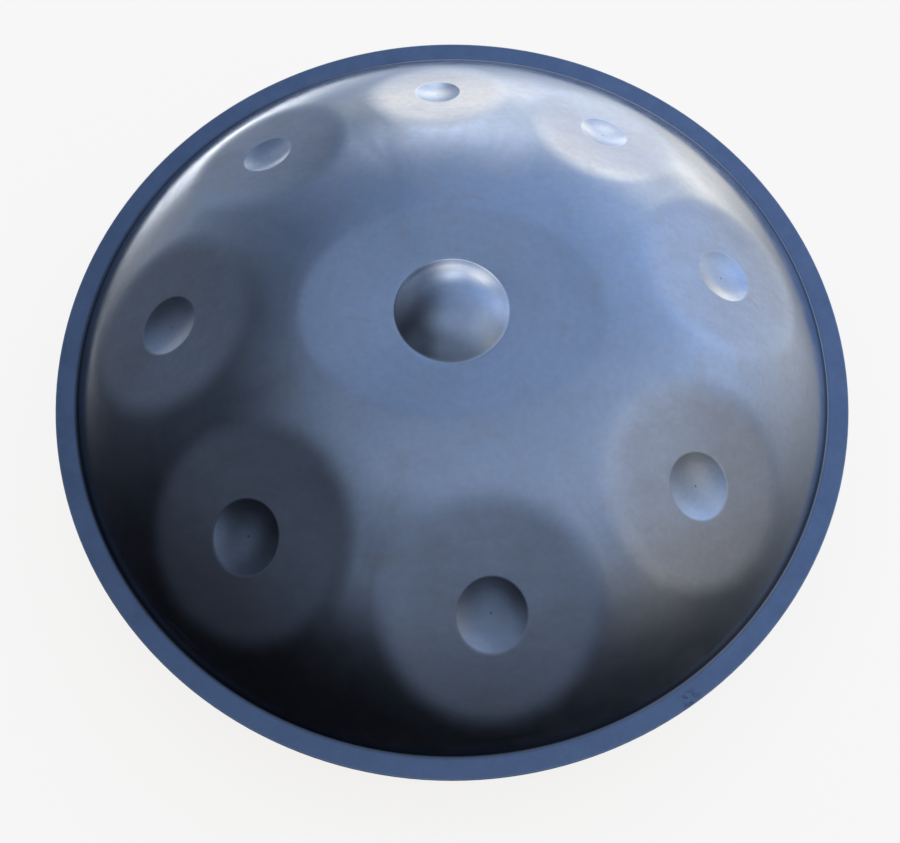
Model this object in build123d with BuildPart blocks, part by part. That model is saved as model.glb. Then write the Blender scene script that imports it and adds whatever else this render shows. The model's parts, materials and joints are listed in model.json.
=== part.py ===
from build123d import *
import os
from dataclasses import dataclass
from math import atan2, cos, hypot, radians, sin, sqrt, tan

# Handpan: two drawn steel shells glued together at their flat flanges.
# Millimetres, +Z up. The origin is on the surface the instrument stands on, under its centre.

# Shells
rim_radius = 270.0
flange_width = 14.0
sheet = 1.1
glue_thickness = 0.4
glue_width = 12.0
flange_fillet = 2.5
dome_radius = rim_radius - flange_width

# Upper shell: playing side
ding_shell_depth = 111.0
ding_shell_fullness = 3.3

# Centre note: a dome raised in a wide flattened field
ding_radius = 35.7
ding_rise = 13.0
ding_field_half_length = 95.0
ding_field_half_width = 72.0
ding_field_flattening = 0.85

# Ring of notes: a dimple in the middle of each field, whose arch is hammered flatter by a share
note_circle_radius = 180.0
note_aspect = 1.14
field_to_dimple = 2.9
field_flattening = 0.55
dimple_depth_ratio = 0.18

# Each note's bearing from +X in degrees, and its dimple's half width across the radius
notes = {
    "first": (-82.5, 22.0),
    "second": (-133.5, 22.3),
    "third": (-33.5, 20.4),
    "fourth": (177.5, 20.0),
    "fifth": (13.5, 18.8),
    "sixth": (133.0, 17.2),
    "seventh": (55.5, 16.2),
    "eighth": (93.0, 15.0),
}

# Lower shell: a plain bowl with a sound port rolled into it
gu_shell_depth = 108.0
gu_shell_fullness = 2.5
foot_radius = 80.0
port_radius = 50.0
port_bend = 10.0
port_neck = 14.0

# Heights
lower_flange = gu_shell_depth
glue_bottom = lower_flange + sheet
upper_flange = glue_bottom + glue_thickness
playing_flange_top = upper_flange + sheet

# Meridian points of the two shells, as shares of the way out to the flange
dome_shares = (0.0, 0.2, 0.36, 0.5, 0.62, 0.72, 0.81, 0.89, 0.95, 0.985)
bowl_shares = (0.0, 0.15, 0.3, 0.45, 0.6, 0.74, 0.86, 0.95)

# Flattening tool: its outline and its bed against the field, and its height over the dome
tool_outline = 1.2
tool_reach = 1.3
tool_headroom = 30.0

# Rounds of the search for the dome below a point, and the height band that holds a flange edge
search_rounds = 40
edge_band = 0.1


def dome_height(radius):
    """Height of the upper shell's outside above the top of its flange."""
    return ding_shell_depth * (1 - (radius / dome_radius) ** ding_shell_fullness)


def dome_slope(radius):
    """Downward slope angle of the upper shell's outside, in radians."""
    share = (radius / dome_radius) ** (ding_shell_fullness - 1)
    return atan2(ding_shell_depth * ding_shell_fullness * share, dome_radius)


def bowl_height(radius):
    """Height of the lower shell's outside above the surface it stands on."""
    share = (radius - foot_radius) / (dome_radius - foot_radius)
    return gu_shell_depth * share ** gu_shell_fullness


def bowl_slope(radius):
    """Upward slope angle of the lower shell's outside, in radians."""
    span = dome_radius - foot_radius
    share = ((radius - foot_radius) / span) ** (gu_shell_fullness - 1)
    return atan2(gu_shell_depth * gu_shell_fullness * share, span)


def dome_points(skin):
    """Meridian points of the upper shell, moved inwards by skin along the surface's normal."""
    points = []
    for share in dome_shares:
        radius = share * dome_radius
        slope = dome_slope(radius)
        height = playing_flange_top + dome_height(radius)
        points.append((radius - skin * sin(slope), height - skin * cos(slope)))
    return points


def dome_solid(skin):
    """The upper shell's dome filled in, skin inside the outer surface, cut off under its flange."""
    points = dome_points(skin)
    wall_slope = dome_slope(dome_shares[-1] * dome_radius)
    foot = (dome_radius - skin * sin(wall_slope), upper_flange - skin)
    with BuildPart() as solid:
        with BuildSketch(Plane.XZ):
            with BuildLine():
                crown = Spline(*points, tangents=((1, 0), (cos(wall_slope), -sin(wall_slope))))
                wall = Line(crown @ 1, foot)
                base = Line(wall @ 1, (0, foot[1]))
                Line(base @ 1, crown @ 0)
            make_face()
        revolve(axis=Axis.Z)
    return solid.part


@dataclass
class Field:
    """A note's flattened ellipse on the dome, with its frame: X outwards down the slope, Z out."""

    frame: Plane
    half_length: float
    half_width: float
    arch: float
    sink: float


def drop_to_dome(radius, height, slope, aside):
    """Distance to the dome from a point, aside from the note's own meridian, down its normal."""
    drop = 0.0
    for _ in range(search_rounds):
        plan = hypot(radius - drop * sin(slope), aside)
        drop = (height - dome_height(plan)) / cos(slope)
    return drop


def make_field(bearing, centre_radius, half_length, half_width, flattening):
    """Lay a field on the dome so that both ends of its length rest on the dome's outside."""
    plan = half_length * cos(dome_slope(centre_radius))
    inner_height = dome_height(abs(centre_radius - plan))
    outer_height = dome_height(centre_radius + plan)
    slope = atan2(inner_height - outer_height, 2 * plan)
    chord_height = (inner_height + outer_height) / 2
    rise = -drop_to_dome(centre_radius, chord_height, slope, 0)
    radius = centre_radius + rise * sin(slope)
    height = chord_height + rise * cos(slope)
    turn = radians(bearing)
    frame = Plane(
        origin=(radius * cos(turn), radius * sin(turn), playing_flange_top + height),
        x_dir=(cos(slope) * cos(turn), cos(slope) * sin(turn), -sin(slope)),
        z_dir=(sin(slope) * cos(turn), sin(slope) * sin(turn), cos(slope)),
    )
    return Field(frame, half_length, half_width, rise, flattening * rise)


def arc_radius(half_chord, rise):
    """Radius of the arc that rises this much over a chord."""
    return (half_chord**2 + rise**2) / (2 * rise)


def planisher(field, skin):
    """What flattening a field takes off the dome: a block over a gently arched bed."""
    bed = arc_radius(field.half_length, field.arch - field.sink)
    reach = tool_reach * field.half_length
    crest = -field.sink - skin
    edge = sqrt((bed - skin) ** 2 - reach**2) - bed - field.sink
    with BuildPart() as tool:
        with BuildSketch(Plane.XY.offset(edge)):
            Ellipse(tool_outline * field.half_length, tool_outline * field.half_width)
        extrude(amount=field.arch + skin + tool_headroom)
        with BuildSketch(Plane.XZ):
            with BuildLine():
                arch = ThreePointArc((-reach, edge), (0, crest), (reach, edge))
                Line(arch @ 1, arch @ 0)
            make_face()
        extrude(amount=tool_reach * field.half_width, both=True, mode=Mode.SUBTRACT)
    return tool.part


def dimple_punch(field, skin):
    """The egg-shaped punch that leaves a dimple in the middle of a field."""
    half_width = field.half_width / field_to_dimple
    depth = dimple_depth_ratio * half_width
    round_radius = arc_radius(half_width, depth) + skin
    long_radius = arc_radius(half_width, depth) * note_aspect + skin
    centre = arc_radius(half_width, depth) - field.sink - depth
    with BuildPart() as punch:
        with BuildSketch(Plane.XZ):
            with BuildLine():
                EllipticalCenterArc((0, centre), long_radius, round_radius, 0, arc_size=180)
                Line((-long_radius, centre), (long_radius, centre))
            make_face()
        revolve(axis=Axis((0, 0, centre), (1, 0, 0)))
    return punch.part


def hammered_dome(skin):
    """The dome with its fields flattened and its dimples punched, skin inside the outside."""
    with BuildPart() as dome:
        add(dome_solid(skin))
        with Locations(ding_field.frame):
            add(planisher(ding_field, skin), mode=Mode.SUBTRACT)
        for field in note_fields:
            with Locations(field.frame):
                add(planisher(field, skin), mode=Mode.SUBTRACT)
                add(dimple_punch(field, skin), mode=Mode.SUBTRACT)
    return dome.part


def ding_ball(skin):
    """The ball whose cap is the centre note's raised dome."""
    ball_radius = arc_radius(ding_radius, ding_rise)
    crown = ding_field.frame.origin.Z - ding_field.sink
    with BuildPart() as ball:
        with Locations((0, 0, crown + ding_rise - ball_radius)):
            Sphere(ball_radius - skin)
    return ball.part


def bowl_points(skin):
    """Meridian points of the lower shell, moved inwards by skin along the surface's normal."""
    points = []
    for share in bowl_shares:
        radius = foot_radius + share * (dome_radius - foot_radius)
        slope = bowl_slope(radius)
        points.append((radius - skin * sin(slope), bowl_height(radius) + skin * cos(slope)))
    return points


def bowl_meridian(skin):
    """Draw one face of the lower shell's sheet, from the top of the port's neck to the flange."""
    points = bowl_points(skin)
    neck = port_radius + skin
    bend = port_radius + port_bend
    wall_foot = foot_radius + bowl_shares[-1] * (dome_radius - foot_radius)
    wall_slope = bowl_slope(wall_foot)
    rise = lower_flange + skin - points[-1][1]
    Line((neck, port_bend + port_neck), (neck, port_bend))
    CenterArc((bend, port_bend), port_bend - skin, 180, 90)
    Line((bend, skin), points[0])
    bowl = Spline(*points, tangents=((1, 0), (cos(wall_slope), sin(wall_slope))))
    wall = Line(bowl @ 1, (points[-1][0] + rise / tan(wall_slope), lower_flange + skin))
    Line(wall @ 1, (rim_radius, lower_flange + skin))


def inner_corner(shell, height):
    """The shell's smallest circular edge at a height: where its dome turns into the flange."""
    rings = shell.edges().filter_by(GeomType.CIRCLE)
    level = rings.filter_by_position(Axis.Z, height - edge_band, height + edge_band)
    return level.sort_by(SortBy.RADIUS)[0]


ding_field = make_field(
    0, 0, ding_field_half_length, ding_field_half_width, ding_field_flattening
)
note_fields = []
for bearing, dimple_half_width in notes.values():
    field_half_width = field_to_dimple * dimple_half_width
    note_fields.append(
        make_field(
            bearing,
            note_circle_radius,
            note_aspect * field_half_width,
            field_half_width,
            field_flattening,
        )
    )

os.makedirs("parts", exist_ok=True)

# Upper shell: dome, raised ding and flange, hollowed to the thickness of the sheet
with BuildPart() as ding_shell:
    add(hammered_dome(0))
    with Locations((0, 0, upper_flange)):
        Cylinder(rim_radius, sheet, align=(Align.CENTER, Align.CENTER, Align.MIN))
    add(ding_ball(0))
    add(hammered_dome(sheet), mode=Mode.SUBTRACT)
    add(ding_ball(sheet), mode=Mode.SUBTRACT)
    fillet(inner_corner(ding_shell, playing_flange_top), flange_fillet)
    fillet(inner_corner(ding_shell, upper_flange), flange_fillet + sheet)
ding_shell.part.label = "ding_shell"
export_step(ding_shell.part, "parts/ding_shell.step")

# Lower shell: flange, bowl, flat foot and the port's neck, turned from one sheet
with BuildPart() as gu_shell:
    with BuildSketch(Plane.XZ):
        with BuildLine():
            bowl_meridian(0)
            bowl_meridian(sheet)
            Line((rim_radius, lower_flange), (rim_radius, lower_flange + sheet))
            neck_top = port_bend + port_neck
            Line((port_radius, neck_top), (port_radius + sheet, neck_top))
        make_face()
    revolve(axis=Axis.Z)
    fillet(inner_corner(gu_shell, lower_flange), flange_fillet)
    fillet(inner_corner(gu_shell, lower_flange + sheet), flange_fillet + sheet)
gu_shell.part.label = "gu_shell"
export_step(gu_shell.part, "parts/gu_shell.step")

# The film of adhesive that joins the two flanges and seals the chamber
with BuildPart() as seam_glue:
    with BuildSketch(Plane.XY.offset(glue_bottom)):
        Circle(rim_radius)
        Circle(rim_radius - glue_width, mode=Mode.SUBTRACT)
    extrude(amount=glue_thickness)
seam_glue.part.label = "seam_glue"
export_step(seam_glue.part, "parts/seam_glue.step")
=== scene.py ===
"""A handpan: two nitrided steel shells, glued together flange to flange."""

import json
import logging
import math
from dataclasses import dataclass, replace
from enum import Enum
from typing import Callable

import bmesh
import bpy
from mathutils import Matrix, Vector, noise

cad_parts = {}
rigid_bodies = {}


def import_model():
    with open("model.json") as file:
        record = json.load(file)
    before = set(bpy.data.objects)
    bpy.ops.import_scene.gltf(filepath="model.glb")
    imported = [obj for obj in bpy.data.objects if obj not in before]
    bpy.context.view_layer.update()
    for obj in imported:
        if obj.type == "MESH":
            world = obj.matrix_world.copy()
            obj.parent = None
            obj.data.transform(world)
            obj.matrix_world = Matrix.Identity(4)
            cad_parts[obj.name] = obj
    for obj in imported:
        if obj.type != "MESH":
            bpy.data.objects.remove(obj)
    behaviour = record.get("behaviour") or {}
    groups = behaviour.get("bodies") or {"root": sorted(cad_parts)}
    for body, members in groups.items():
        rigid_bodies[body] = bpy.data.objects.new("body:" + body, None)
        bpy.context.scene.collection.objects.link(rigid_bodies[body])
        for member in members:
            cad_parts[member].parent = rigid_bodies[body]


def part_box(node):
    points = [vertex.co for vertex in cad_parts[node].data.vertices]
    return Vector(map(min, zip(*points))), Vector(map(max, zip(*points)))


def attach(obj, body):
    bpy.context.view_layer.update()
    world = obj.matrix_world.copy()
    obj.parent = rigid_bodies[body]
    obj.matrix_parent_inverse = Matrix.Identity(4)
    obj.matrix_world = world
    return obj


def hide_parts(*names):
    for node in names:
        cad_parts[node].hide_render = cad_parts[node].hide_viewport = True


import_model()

log = logging.getLogger("handpan")

MM = 0.001
BODY = "root"
TURNED_STEPS = 192
DEBURR = 0.28 * MM


class Slot(Enum):
    """The record's material slots."""

    DING_STEEL = "ding_steel"
    GU_STEEL = "gu_steel"
    GLUE = "glue"


def arc_radius(half_chord: float, rise: float) -> float:
    """Radius of the arc that rises this much over a chord."""
    return (half_chord**2 + rise**2) / (2 * rise)


def smooth_step(low: float, high: float, value: float) -> float:
    """Ease from 0 at low to 1 at high."""
    share = min(max((value - low) / (high - low), 0.0), 1.0)
    return share * share * (3 - 2 * share)


def soft_floor(value: float, width: float) -> float:
    """Cut a value off below 0, with the corner rounded.

    Args:
        value: what to cut off.
        width: how far the rounding reaches on both sides of 0.

    Returns:
        The value where it is well over 0, and 0 where it is well below.
    """
    if value <= -width:
        return 0.0
    if value >= width:
        return value
    return (value + width) ** 2 / (4 * width)


# ---------------------------------------------------------------- shape of the playing side


@dataclass(frozen=True)
class Note:
    """A note of the ring: its bearing from +X in degrees and its dimple's half width in metres."""

    name: str
    bearing: float
    half_width: float


NOTES = (
    Note("second", -133.5, 22.3 * MM),
    Note("first", -82.5, 22.0 * MM),
    Note("third", -33.5, 20.4 * MM),
    Note("fifth", 13.5, 18.8 * MM),
    Note("seventh", 55.5, 16.2 * MM),
    Note("eighth", 93.0, 15.0 * MM),
    Note("sixth", 133.0, 17.2 * MM),
    Note("fourth", 177.5, 20.0 * MM),
)


@dataclass(frozen=True)
class Dome:
    """The upper shell's outside, as a height over the plan radius.

    Attributes:
        radius: plan radius where the dome would meet the flange.
        depth: height of the crown over the flange.
        fullness: power of the meridian; higher is flatter on top and steeper at the wall.
        flange_top: height of the flange's upper face.
    """

    radius: float
    flange_top: float
    depth: float = 111.0 * MM
    fullness: float = 3.3

    def height(self, radius: float) -> float:
        """Height of the dome over the flange at a plan radius."""
        return self.depth * (1 - (radius / self.radius) ** self.fullness)

    def slope(self, radius: float) -> float:
        """Downward slope angle at a plan radius, in radians."""
        share = (radius / self.radius) ** (self.fullness - 1)
        return math.atan2(self.depth * self.fullness * share, self.radius)


@dataclass(frozen=True)
class ToneField:
    """A note's flattened ellipse, in a frame with u outwards down the slope and v along the ring.

    Attributes:
        dome: the upper shell's outside.
        turn: bearing of the field's middle, in radians.
        slope: downward tilt of its plane, in radians.
        radius: plan radius of its middle.
        height: height of its middle over the flange.
        half_length: half its length, down the slope.
        half_width: half its width, along the ring.
        sink: how far its middle is pressed below the dome.
        dimple_share: size of the dimple as a share of the field.
        dimple_depth: depth of the dimple below the field.
        edge_softness: how far the field's edge is rounded on both sides.
    """

    dome: Dome
    turn: float
    slope: float
    radius: float
    height: float
    half_length: float
    half_width: float
    sink: float
    dimple_share: float
    dimple_depth: float
    edge_softness: float = 7.5 * MM

    @classmethod
    def of_note(cls, dome: Dome, note: Note) -> "ToneField":
        """Lay a note's field on the dome, both ends of its length resting on the dome.

        Args:
            dome: the upper shell's outside.
            note: the note to lay out.

        Returns:
            The field, with its own tilted frame.
        """
        ring_radius = 180.0 * MM
        aspect = 1.14
        field_to_dimple = 2.9
        flattening = 0.55
        dimple_ratio = 0.18
        half_width = field_to_dimple * note.half_width
        half_length = aspect * half_width
        plan = half_length * math.cos(dome.slope(ring_radius))
        inner = dome.height(ring_radius - plan)
        outer = dome.height(ring_radius + plan)
        slope = math.atan2(inner - outer, 2 * plan)
        chord = cls(dome, math.radians(note.bearing), slope, ring_radius, (inner + outer) / 2,
                    half_length, half_width, 0, 1 / field_to_dimple,
                    dimple_ratio * note.half_width)
        rise = -chord.drop(0, 0)
        return replace(chord, radius=ring_radius + rise * math.sin(slope),
                       height=chord.height + rise * math.cos(slope), sink=flattening * rise)

    def drop(self, u: float, v: float) -> float:
        """Find the dome below the tangent plane, closing in on it step by step.

        Args:
            u: distance outwards down the slope.
            v: distance along the ring.

        Returns:
            The distance from the plane down its normal to the dome.
        """
        passes = 24
        easing = 0.5
        radius = self.radius + u * math.cos(self.slope)
        height = self.height - u * math.sin(self.slope)
        down = 0.0
        for _ in range(passes):
            plan = math.hypot(radius - down * math.sin(self.slope), v)
            down += easing * ((height - self.dome.height(plan)) / math.cos(self.slope) - down)
        return down

    def reach(self, u: float, v: float) -> float:
        """How far out a point is: 0 in the middle of the field and 1 on its edge."""
        return math.hypot(u / self.half_length, v / self.half_width)

    def hammered(self, reach: float) -> float:
        """Depth that the hammer has put a point below the dome.

        Args:
            reach: 0 in the middle of the field and 1 on its edge.

        Returns:
            The depth of the field and, inside the dimple, of its spherical cap.
        """
        softness = 2 * self.edge_softness / self.half_length
        field_depth = self.sink * soft_floor(1 - reach * reach, softness)
        share = reach / self.dimple_share
        if share >= 1:
            return field_depth
        width = self.half_width * self.dimple_share
        ball = arc_radius(width, self.dimple_depth)
        cap = math.sqrt(ball**2 - (share * width) ** 2) - (ball - self.dimple_depth)
        return field_depth + cap

    def place(self, u: float, v: float, down: float) -> Vector:
        """Put a point of the field's frame in space.

        Args:
            u: distance outwards down the slope.
            v: distance along the ring.
            down: distance below the tangent plane.

        Returns:
            The point in the shell's own coordinates.
        """
        radial = self.radius + u * math.cos(self.slope) - down * math.sin(self.slope)
        height = self.height - u * math.sin(self.slope) - down * math.cos(self.slope)
        turned = (radial * math.cos(self.turn) - v * math.sin(self.turn),
                  radial * math.sin(self.turn) + v * math.cos(self.turn))
        return Vector((*turned, self.dome.flange_top + height))

    def surface(self, u: float, v: float) -> Vector:
        """The hammered surface at u, v."""
        return self.place(u, v, self.drop(u, v) + self.hammered(self.reach(u, v)))

    def local(self, point: Vector) -> tuple[float, float]:
        """Find where a point lies in the field's frame.

        Args:
            point: a point in the shell's own coordinates.

        Returns:
            Its u outwards down the slope and its v along the ring.
        """
        along = point.x * math.cos(self.turn) + point.y * math.sin(self.turn)
        across = point.y * math.cos(self.turn) - point.x * math.sin(self.turn)
        up = point.z - self.dome.flange_top - self.height
        u = (along - self.radius) * math.cos(self.slope) - up * math.sin(self.slope)
        return u, across


# ---------------------------------------------------------------- cages


class Cage:
    """A coarse cage made of rings of vertices, with how deep in its tone field each one is."""

    def __init__(self) -> None:
        """Start an empty cage."""
        self.mesh = bmesh.new()
        self.share = self.mesh.verts.layers.float.new("field_share")

    def vertex(self, point: Vector, reach: float = 2.0) -> bmesh.types.BMVert:
        """Add one vertex.

        Args:
            point: where it goes.
            reach: 0 in the middle of a tone field, 1 on its edge and 2 well outside.

        Returns:
            The new vertex.
        """
        made = self.mesh.verts.new(point)
        self.mark(made, reach)
        return made

    def mark(self, vertex: bmesh.types.BMVert, reach: float) -> None:
        """Note how deep in a field a vertex is: 1 in the middle, 0.5 on the edge, 0 far outside."""
        vertex[self.share] = max(vertex[self.share], 1 - 0.5 * min(reach, 2.0))

    def bridge(self, outer: list, inner: list) -> None:
        """Join two closed rings of as many vertices with quads.

        Args:
            outer: the outer ring, counterclockwise from outside.
            inner: the inner ring, the same way round.
        """
        count = len(outer)
        for k in range(count):
            after = (k + 1) % count
            self.mesh.faces.new((outer[k], outer[after], inner[after], inner[k]))

    def close(self, ring: list, place: Callable[[float, float], tuple[Vector, float]]) -> None:
        """Fill a ring of 4 n vertices with an n by n grid of quads.

        Args:
            ring: the ring, counterclockwise from outside; its first vertex is the grid's corner.
            place: gives (point, reach) for x, y in the unit disc, whose angle -135 degrees
                is the ring's first vertex.
        """
        side = len(ring) // 4
        lines = [math.sqrt(2) * math.sin(math.pi / 4 * (2 * k / side - 1)) for k in range(side + 1)]
        grid = {}
        for k in range(side):
            grid[k, 0] = ring[k]
            grid[side, k] = ring[side + k]
            grid[side - k, side] = ring[2 * side + k]
            grid[0, side - k] = ring[3 * side + k]
        for i in range(1, side):
            for j in range(1, side):
                x = lines[i] * math.sqrt(1 - lines[j] ** 2 / 2)
                y = lines[j] * math.sqrt(1 - lines[i] ** 2 / 2)
                grid[i, j] = self.vertex(*place(x, y))
        for i in range(side):
            for j in range(side):
                self.mesh.faces.new((grid[i, j], grid[i + 1, j],
                                     grid[i + 1, j + 1], grid[i, j + 1]))

    def finish(self, name: str) -> bpy.types.Object:
        """Turn the cage into a smooth-shaded object at the origin.

        Args:
            name: the object's name.

        Returns:
            The object, in the scene.
        """
        data = bpy.data.meshes.new(name)
        self.mesh.to_mesh(data)
        self.mesh.free()
        data.polygons.foreach_set("use_smooth", [True] * len(data.polygons))
        piece = bpy.data.objects.new(name, data)
        bpy.context.scene.collection.objects.link(piece)
        return piece


def turned_profile(name: str, points: list, closed: bool) -> bpy.types.Object:
    """Make the half section of a turned piece.

    Args:
        name: the object's name.
        points: (radius, height) pairs, from top to bottom along the outside.
        closed: whether the last point joins the first.

    Returns:
        An object whose mesh is the bare profile, ready for a Screw.
    """
    data = bpy.data.meshes.new(name)
    edges = [(k, k + 1) for k in range(len(points) - 1)]
    if closed:
        edges.append((len(points) - 1, 0))
    data.from_pydata([(radius, 0, height) for radius, height in points], edges, [])
    piece = bpy.data.objects.new(name, data)
    bpy.context.scene.collection.objects.link(piece)
    return piece


def arc_points(centre: tuple, radius: float, start: float, end: float, steps: int) -> list:
    """Lay out an arc in the radius-height plane.

    Args:
        centre: (radius, height) of its centre.
        radius: its radius.
        start: angle of its first point, in degrees from the radial axis.
        end: angle of its last point.
        steps: how many pieces it is divided into.

    Returns:
        (radius, height) pairs, both ends included.
    """
    points = []
    for k in range(steps + 1):
        angle = math.radians(start + (end - start) * k / steps)
        points.append((centre[0] + radius * math.cos(angle), centre[1] + radius * math.sin(angle)))
    return points


def add_screw(piece: bpy.types.Object, steps: int) -> None:
    """Turn a profile once about Z.

    Args:
        piece: the profile.
        steps: how many faces go round.
    """
    screw = piece.modifiers.new("Turned", "SCREW")
    screw.axis = "Z"
    screw.steps = steps
    screw.render_steps = steps
    screw.use_merge_vertices = True
    screw.merge_threshold = 0.01 * MM
    screw.use_smooth_shade = True


def add_sheet(piece: bpy.types.Object, thickness: float) -> None:
    """Give a surface the sheet's thickness, inwards.

    Args:
        piece: the surface of the sheet's outside.
        thickness: of the sheet.
    """
    sheet = piece.modifiers.new("Sheet thickness", "SOLIDIFY")
    sheet.thickness = thickness
    sheet.offset = -1
    sheet.use_even_offset = True
    sheet.use_quality_normals = True


def add_deburr(piece: bpy.types.Object, width: float, sharpest: float = 60.0) -> None:
    """Round the cut edges a little.

    Args:
        piece: the sheet.
        width: of the rounding.
        sharpest: edges that turn by more degrees than this are rounded.
    """
    deburr = piece.modifiers.new("Deburred edge", "BEVEL")
    deburr.limit_method = "ANGLE"
    deburr.angle_limit = math.radians(sharpest)
    deburr.width = width
    deburr.segments = 2
    deburr.harden_normals = True


# ---------------------------------------------------------------- finishes


@dataclass(frozen=True)
class SteelFinish:
    """A nitrided sheet steel: oxide blue over grey, clouded by the furnace and rubbed by hand.

    Attributes:
        name: the material's name.
        clear: colour of the open steel.
        cloud: colour of the furnace clouds.
        stain: brown-grey of the heat stains.
        field_tint: straw and mauve left in the tone fields by their tuning.
        dimple_blue: the pressed dimples.
        flange_colour: the flange, which keeps more of the blue.
        roughness: of the rubbed dome.
        flange_roughness: of the flange.
        flange_start: plan radius where the flange begins.
        rim: plan radius of the rim.
        scuff: where the rim has been knocked.
        seed: moves the pattern, so that two shells differ.
    """

    name: str
    clear: tuple
    cloud: tuple
    stain: tuple
    field_tint: tuple
    dimple_blue: tuple
    flange_colour: tuple
    flange_start: float
    rim: float
    scuff: tuple
    seed: float
    roughness: float = 0.2
    flange_roughness: float = 0.36


def nitrided_steel(look: SteelFinish) -> bpy.types.Material:
    """Write the nitrided steel of one shell, node by node.

    Args:
        look: colours, roughness and sizes of this shell's finish.

    Returns:
        The material.
    """
    material = bpy.data.materials.new(look.name)
    material.use_nodes = True
    nodes = material.node_tree.nodes
    links = material.node_tree.links
    nodes.clear()

    place = nodes.new("NodeFrame")
    place.label = "Where on the shell"
    clouds = nodes.new("NodeFrame")
    clouds.label = "Furnace clouds and heat stains"
    fields = nodes.new("NodeFrame")
    fields.label = "Tone fields"
    flange = nodes.new("NodeFrame")
    flange.label = "Flange"
    polish = nodes.new("NodeFrame")
    polish.label = "Rubbed polish"
    relief = nodes.new("NodeFrame")
    relief.label = "Hammer marks and grain"

    coordinate = nodes.new("ShaderNodeTexCoord")
    coordinate.label = "Shell's own coordinates"
    coordinate.parent = place

    shifted = nodes.new("ShaderNodeMapping")
    shifted.label = "Moves the pattern for this shell"
    shifted.inputs["Location"].default_value = (look.seed, -0.7 * look.seed, 0.3 * look.seed)
    shifted.parent = place
    links.new(coordinate.outputs["Object"], shifted.inputs["Vector"])

    flattened = nodes.new("ShaderNodeVectorMath")
    flattened.label = "Drops the height"
    flattened.operation = "MULTIPLY"
    flattened.inputs[1].default_value = (1, 1, 0)
    flattened.parent = place
    links.new(coordinate.outputs["Object"], flattened.inputs[0])

    plan_radius = nodes.new("ShaderNodeVectorMath")
    plan_radius.label = "Plan radius"
    plan_radius.operation = "LENGTH"
    plan_radius.parent = place
    links.new(flattened.outputs["Vector"], plan_radius.inputs[0])

    broad = nodes.new("ShaderNodeTexNoise")
    broad.label = "Broad furnace clouds"
    broad.inputs["Scale"].default_value = 11
    broad.inputs["Detail"].default_value = 4
    broad.inputs["Roughness"].default_value = 0.55
    broad.inputs["Distortion"].default_value = 0.4
    broad.parent = clouds
    links.new(shifted.outputs["Vector"], broad.inputs["Vector"])

    broad_share = nodes.new("ShaderNodeMapRange")
    broad_share.label = "How much cloud"
    broad_share.interpolation_type = "SMOOTHSTEP"
    broad_share.inputs["From Min"].default_value = 0.38
    broad_share.inputs["From Max"].default_value = 0.66
    broad_share.parent = clouds
    links.new(broad.outputs["Fac"], broad_share.inputs["Value"])

    clouded = nodes.new("ShaderNodeMix")
    clouded.label = "Open steel to cloud"
    clouded.data_type = "RGBA"
    clouded.inputs["A"].default_value = (*look.clear, 1)
    clouded.inputs["B"].default_value = (*look.cloud, 1)
    clouded.parent = clouds
    links.new(broad_share.outputs["Result"], clouded.inputs["Factor"])

    blotch = nodes.new("ShaderNodeTexNoise")
    blotch.label = "Heat stain blotches"
    blotch.inputs["Scale"].default_value = 46
    blotch.inputs["Detail"].default_value = 5
    blotch.inputs["Roughness"].default_value = 0.6
    blotch.inputs["Distortion"].default_value = 0.8
    blotch.parent = clouds
    links.new(shifted.outputs["Vector"], blotch.inputs["Vector"])

    blotch_share = nodes.new("ShaderNodeMapRange")
    blotch_share.label = "How much stain"
    blotch_share.interpolation_type = "SMOOTHSTEP"
    blotch_share.inputs["From Min"].default_value = 0.5
    blotch_share.inputs["From Max"].default_value = 0.78
    blotch_share.inputs["To Max"].default_value = 0.55
    blotch_share.parent = clouds
    links.new(blotch.outputs["Fac"], blotch_share.inputs["Value"])

    stained = nodes.new("ShaderNodeMix")
    stained.label = "Heat stain over the cloud"
    stained.data_type = "RGBA"
    stained.inputs["B"].default_value = (*look.stain, 1)
    stained.parent = clouds
    links.new(blotch_share.outputs["Result"], stained.inputs["Factor"])
    links.new(clouded.outputs["Result"], stained.inputs["A"])

    depth = nodes.new("ShaderNodeAttribute")
    depth.label = "How deep in a tone field"
    depth.attribute_name = "field_share"
    depth.parent = fields

    in_field = nodes.new("ShaderNodeMapRange")
    in_field.label = "1 inside the fields"
    in_field.interpolation_type = "SMOOTHSTEP"
    in_field.inputs["From Min"].default_value = 0.45
    in_field.inputs["From Max"].default_value = 0.6
    in_field.parent = fields
    links.new(depth.outputs["Fac"], in_field.inputs["Value"])

    heated = nodes.new("ShaderNodeMapRange")
    heated.label = "Patchy heat tint"
    heated.inputs["From Min"].default_value = 0.35
    heated.inputs["From Max"].default_value = 0.65
    heated.inputs["To Min"].default_value = 0
    heated.inputs["To Max"].default_value = 0.5
    heated.parent = fields
    links.new(broad.outputs["Fac"], heated.inputs["Value"])

    off_centre = nodes.new("ShaderNodeMath")
    off_centre.label = "Away from the middle of the shell"
    off_centre.operation = "GREATER_THAN"
    off_centre.inputs[1].default_value = 100 * MM
    off_centre.parent = fields
    links.new(plan_radius.outputs["Value"], off_centre.inputs[0])

    in_note = nodes.new("ShaderNodeMath")
    in_note.label = "Only in the ring of notes"
    in_note.operation = "MULTIPLY"
    in_note.parent = fields
    links.new(in_field.outputs["Result"], in_note.inputs[0])
    links.new(off_centre.outputs["Value"], in_note.inputs[1])

    tint_share = nodes.new("ShaderNodeMath")
    tint_share.label = "How much tint"
    tint_share.operation = "MULTIPLY"
    tint_share.parent = fields
    links.new(in_note.outputs["Value"], tint_share.inputs[0])
    links.new(heated.outputs["Result"], tint_share.inputs[1])

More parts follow.
